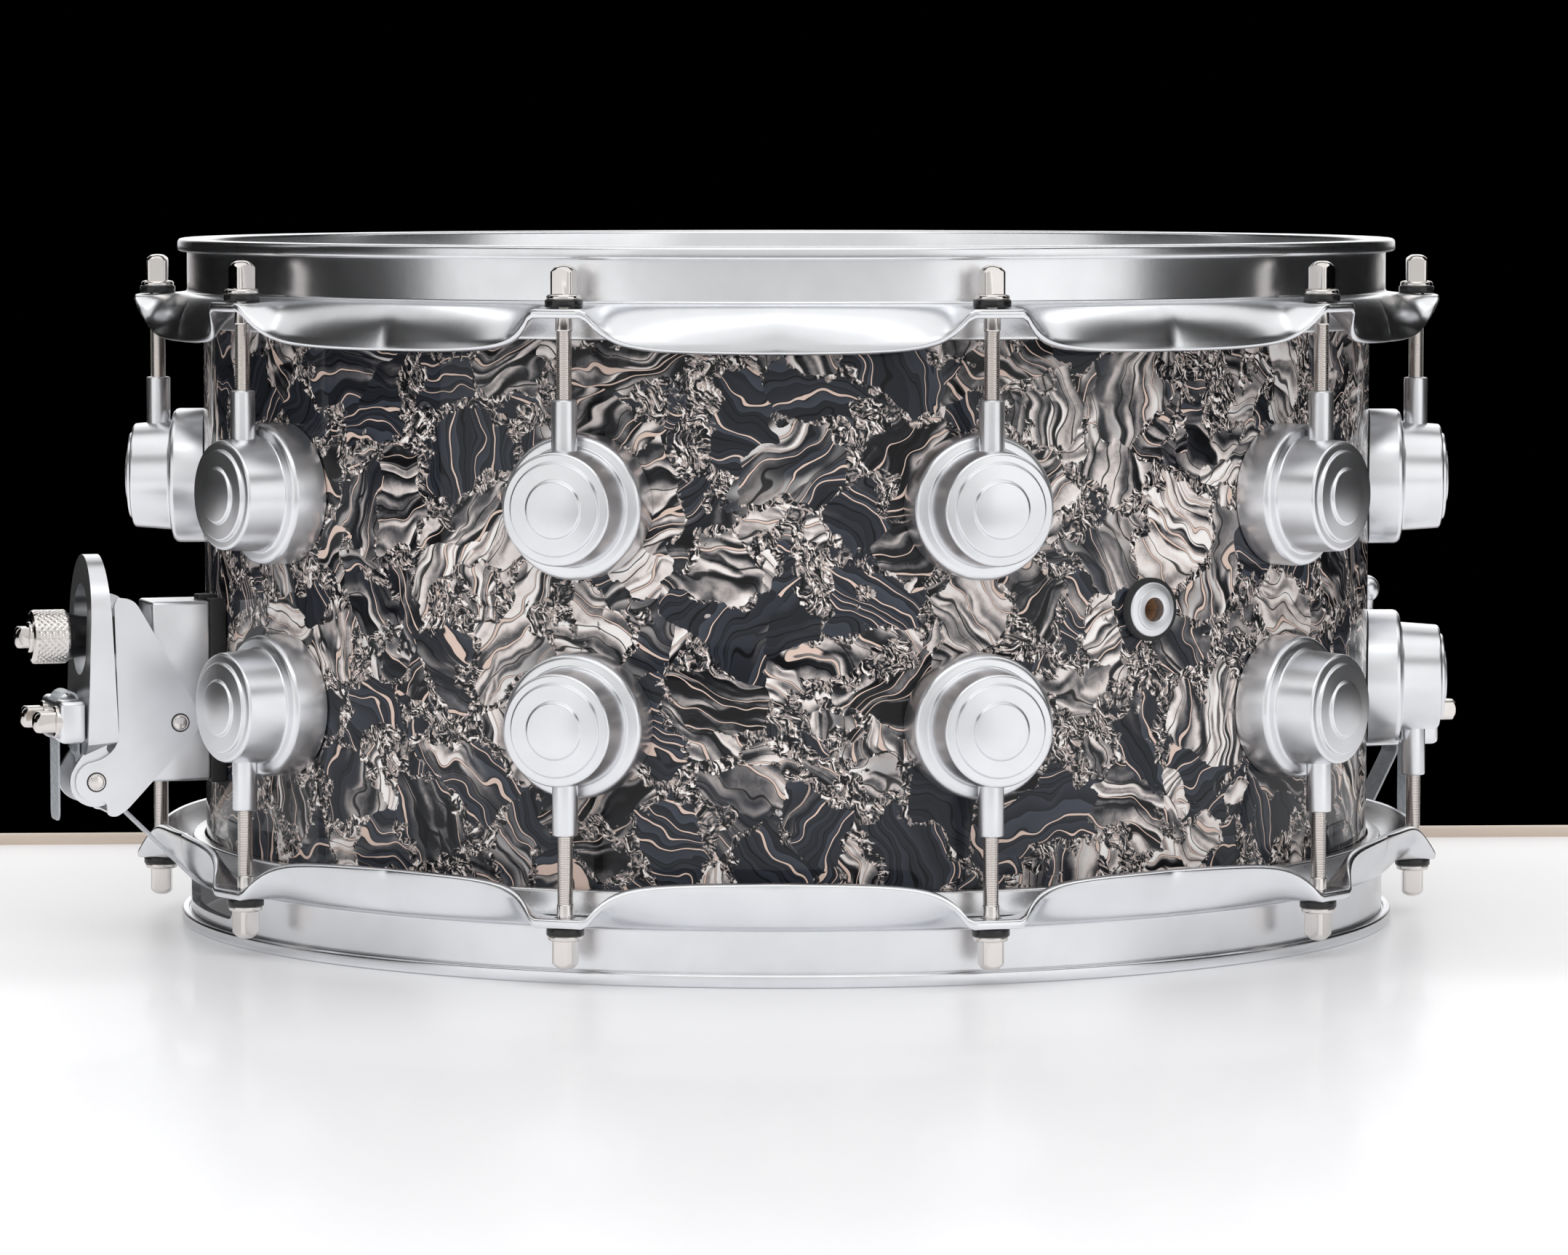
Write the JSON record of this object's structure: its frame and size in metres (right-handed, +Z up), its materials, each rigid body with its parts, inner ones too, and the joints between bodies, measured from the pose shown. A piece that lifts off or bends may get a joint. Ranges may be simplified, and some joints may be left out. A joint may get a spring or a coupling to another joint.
{
  "type": "snare drum",
  "caption": "Snare drum with flanged steel hoops, turret lugs, square-head tension rods, a swing-lever throw-off, a butt plate and snare wires under the lower head.",
  "frame": {"origin": "centre of the batter head's playing surface", "axes": "+Z up along the drum's axis, out of the batter head; -Y towards the side between two lugs that faces the front; the throw-off lies 72 degrees from -Y towards -X"},
  "size_m": [0.4383, 0.3894, 0.2066],
  "materials": {
    "wrapped_shell": "wood shell under a clear-coated pearl wrap in charcoal, black and pale pink",
    "coated_film": "rough white coating on polyester film",
    "clear_film": "thin clear polyester film",
    "aluminium_hoop": "satin",
    "chromed_steel": "satin chrome",
    "satin_lug": "satin chrome on a die-cast lug",
    "satin_fitting": "satin chrome",
    "nickel": "bright nickel",
    "wire_steel": "bright wire",
    "clear_strap": "clear polyester strap"
  },
  "bodies": {
    "drum": {"shell": "wrapped_shell", "vent_grommet": "nickel", "batter_head": "coated_film", "batter_flesh_hoop": "aluminium_hoop", "batter_hoop": "chromed_steel", "snare_head": "clear_film", "snare_flesh_hoop": "aluminium_hoop", "snare_hoop": "chromed_steel", "batter_lug_01": "satin_lug", "batter_lug_02": "satin_lug", "batter_lug_03": "satin_lug", "batter_lug_04": "satin_lug", "batter_lug_05": "satin_lug", "batter_lug_06": "satin_lug", "batter_lug_07": "satin_lug", "batter_lug_08": "satin_lug", "batter_lug_09": "satin_lug", "batter_lug_10": "satin_lug", "snare_lug_01": "satin_lug", "snare_lug_02": "satin_lug", "snare_lug_03": "satin_lug", "snare_lug_04": "satin_lug", "snare_lug_05": "satin_lug", "snare_lug_06": "satin_lug", "snare_lug_07": "satin_lug", "snare_lug_08": "satin_lug", "snare_lug_09": "satin_lug", "snare_lug_10": "satin_lug", "throw_off_base": "satin_fitting", "frame_pin": "nickel", "throw_off_strap": "clear_strap", "snare_wires": "wire_steel", "butt_base": "satin_fitting", "butt_clamp": "satin_fitting", "butt_strap": "clear_strap"},
    "batter_rod_01": {"batter_rod_01": "nickel"},
    "batter_rod_02": {"batter_rod_02": "nickel"},
    "batter_rod_03": {"batter_rod_03": "nickel"},
    "batter_rod_04": {"batter_rod_04": "nickel"},
    "batter_rod_05": {"batter_rod_05": "nickel"},
    "batter_rod_06": {"batter_rod_06": "nickel"},
    "batter_rod_07": {"batter_rod_07": "nickel"},
    "batter_rod_08": {"batter_rod_08": "nickel"},
    "batter_rod_09": {"batter_rod_09": "nickel"},
    "batter_rod_10": {"batter_rod_10": "nickel"},
    "snare_rod_01": {"snare_rod_01": "nickel"},
    "snare_rod_02": {"snare_rod_02": "nickel"},
    "snare_rod_03": {"snare_rod_03": "nickel"},
    "snare_rod_04": {"snare_rod_04": "nickel"},
    "snare_rod_05": {"snare_rod_05": "nickel"},
    "snare_rod_06": {"snare_rod_06": "nickel"},
    "snare_rod_07": {"snare_rod_07": "nickel"},
    "snare_rod_08": {"snare_rod_08": "nickel"},
    "snare_rod_09": {"snare_rod_09": "nickel"},
    "snare_rod_10": {"snare_rod_10": "nickel"},
    "tilt_frame": {"throw_off_frame": "satin_fitting", "lever_pin": "nickel"},
    "lever": {"throw_off_lever": "satin_fitting", "throw_off_clamp": "satin_fitting"},
    "knob": {"tension_knob": "nickel"}
  },
  "joints": [
    {"name": "batter_rod_01_turn", "type": "hinge", "parent": "drum", "child": "batter_rod_01", "pos_m": [0.05933, -0.1826, -0.0032], "axis": [0, 0, 1], "continuous": true},
    {"name": "batter_rod_02_turn", "type": "hinge", "parent": "drum", "child": "batter_rod_02", "pos_m": [0.15533, -0.11285, -0.0032], "axis": [0, 0, 1], "continuous": true},
    {"name": "batter_rod_03_turn", "type": "hinge", "parent": "drum", "child": "batter_rod_03", "pos_m": [0.192, 0, -0.0032], "axis": [0, 0, 1], "continuous": true},
    {"name": "batter_rod_04_turn", "type": "hinge", "parent": "drum", "child": "batter_rod_04", "pos_m": [0.15533, 0.11285, -0.0032], "axis": [0, 0, 1], "continuous": true},
    {"name": "batter_rod_05_turn", "type": "hinge", "parent": "drum", "child": "batter_rod_05", "pos_m": [0.05933, 0.1826, -0.0032], "axis": [0, 0, 1], "continuous": true},
    {"name": "batter_rod_06_turn", "type": "hinge", "parent": "drum", "child": "batter_rod_06", "pos_m": [-0.05933, 0.1826, -0.0032], "axis": [0, 0, 1], "continuous": true},
    {"name": "batter_rod_07_turn", "type": "hinge", "parent": "drum", "child": "batter_rod_07", "pos_m": [-0.15533, 0.11285, -0.0032], "axis": [0, 0, 1], "continuous": true},
    {"name": "batter_rod_08_turn", "type": "hinge", "parent": "drum", "child": "batter_rod_08", "pos_m": [-0.192, 0, -0.0032], "axis": [0, 0, 1], "continuous": true},
    {"name": "batter_rod_09_turn", "type": "hinge", "parent": "drum", "child": "batter_rod_09", "pos_m": [-0.15533, -0.11285, -0.0032], "axis": [0, 0, 1], "continuous": true},
    {"name": "batter_rod_10_turn", "type": "hinge", "parent": "drum", "child": "batter_rod_10", "pos_m": [-0.05933, -0.1826, -0.0032], "axis": [0, 0, 1], "continuous": true},
    {"name": "snare_rod_01_turn", "type": "hinge", "parent": "drum", "child": "snare_rod_01", "pos_m": [0.05933, -0.1826, -0.176], "axis": [0, 0, -1], "continuous": true},
    {"name": "snare_rod_02_turn", "type": "hinge", "parent": "drum", "child": "snare_rod_02", "pos_m": [0.15533, -0.11285, -0.176], "axis": [0, 0, -1], "continuous": true},
    {"name": "snare_rod_03_turn", "type": "hinge", "parent": "drum", "child": "snare_rod_03", "pos_m": [0.192, 0, -0.176], "axis": [0, 0, -1], "continuous": true},
    {"name": "snare_rod_04_turn", "type": "hinge", "parent": "drum", "child": "snare_rod_04", "pos_m": [0.15533, 0.11285, -0.176], "axis": [0, 0, -1], "continuous": true},
    {"name": "snare_rod_05_turn", "type": "hinge", "parent": "drum", "child": "snare_rod_05", "pos_m": [0.05933, 0.1826, -0.176], "axis": [0, 0, -1], "continuous": true},
    {"name": "snare_rod_06_turn", "type": "hinge", "parent": "drum", "child": "snare_rod_06", "pos_m": [-0.05933, 0.1826, -0.176], "axis": [0, 0, -1], "continuous": true},
    {"name": "snare_rod_07_turn", "type": "hinge", "parent": "drum", "child": "snare_rod_07", "pos_m": [-0.15533, 0.11285, -0.176], "axis": [0, 0, -1], "continuous": true},
    {"name": "snare_rod_08_turn", "type": "hinge", "parent": "drum", "child": "snare_rod_08", "pos_m": [-0.192, 0, -0.176], "axis": [0, 0, -1], "continuous": true},
    {"name": "snare_rod_09_turn", "type": "hinge", "parent": "drum", "child": "snare_rod_09", "pos_m": [-0.15533, -0.11285, -0.176], "axis": [0, 0, -1], "continuous": true},
    {"name": "snare_rod_10_turn", "type": "hinge", "parent": "drum", "child": "snare_rod_10", "pos_m": [-0.05933, -0.1826, -0.176], "axis": [0, 0, -1], "continuous": true},
    {"name": "frame_tilt", "type": "hinge", "parent": "drum", "child": "tilt_frame", "pos_m": [-0.18213, -0.05918, -0.1287], "axis": [0.309, -0.9511, 0], "range_deg": [-3.6, 3.6], "deforming": ["throw_off_strap"]},
    {"name": "lever_swing", "type": "hinge", "parent": "tilt_frame", "child": "lever", "pos_m": [-0.20619, -0.06699, -0.1457], "axis": [0.309, -0.9511, 0], "range_deg": [0, 100], "deforming": ["throw_off_strap"]},
    {"name": "knob_turn", "type": "hinge", "parent": "tilt_frame", "child": "knob", "pos_m": [-0.18945, -0.06156, -0.1032], "axis": [-0.9511, -0.309, 0], "range_deg": [-720, 720]}
  ],
  "couplings": [
    {"joint": "frame_tilt", "follows": "knob_turn", "ratio": 0.0049931}
  ]
}
